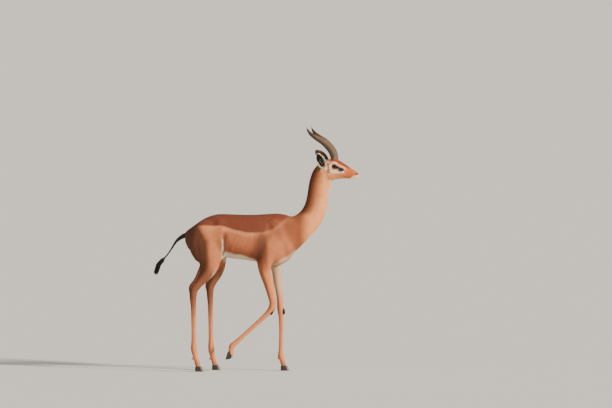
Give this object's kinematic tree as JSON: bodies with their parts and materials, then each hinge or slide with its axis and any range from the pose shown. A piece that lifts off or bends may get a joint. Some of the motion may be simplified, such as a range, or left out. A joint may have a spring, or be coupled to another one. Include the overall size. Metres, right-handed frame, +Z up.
{
  "type": "gerenuk",
  "caption": "Male gerenuk, life size, walking with its right forefoot lifted, with ringed horns and a tufted tail.",
  "frame": {"origin": "bottom centre of the whole animal's box, on the floor that the hooves stand on", "axes": "+X towards the nose, +Y towards the animal's left side, +Z up"},
  "size_m": [1.2923, 0.2758, 1.5515],
  "materials": {
    "coat_body": "matte",
    "coat_neck": "matte",
    "coat_head": "matte",
    "coat_leg": "matte",
    "ear_skin": "matte",
    "tail_hair": "matte",
    "knee_hair": "matte",
    "horn": "satin",
    "hoof": "satin",
    "eye": "gloss"
  },
  "bodies": {
    "root": {"torso": "coat_body", "neck": "coat_neck", "head": "coat_head", "ear_left": "ear_skin", "ear_right": "ear_skin", "eye_left": "eye", "eye_right": "eye", "horn_left": "horn", "horn_right": "horn", "foreleg_left_upper": "coat_leg", "foreleg_left_lower": "coat_leg", "hoof_foreleg_left_a": "hoof", "hoof_foreleg_left_b": "hoof", "foreleg_right_upper": "coat_leg", "foreleg_right_lower": "coat_leg", "hoof_foreleg_right_a": "hoof", "hoof_foreleg_right_b": "hoof", "hindleg_left_upper": "coat_leg", "hindleg_left_lower": "coat_leg", "hoof_hindleg_left_a": "hoof", "hoof_hindleg_left_b": "hoof", "hindleg_right_upper": "coat_leg", "hindleg_right_lower": "coat_leg", "hoof_hindleg_right_a": "hoof", "hoof_hindleg_right_b": "hoof", "knee_brush_left": "knee_hair", "knee_brush_right": "knee_hair", "tail": "tail_hair"}
  },
  "joints": []
}
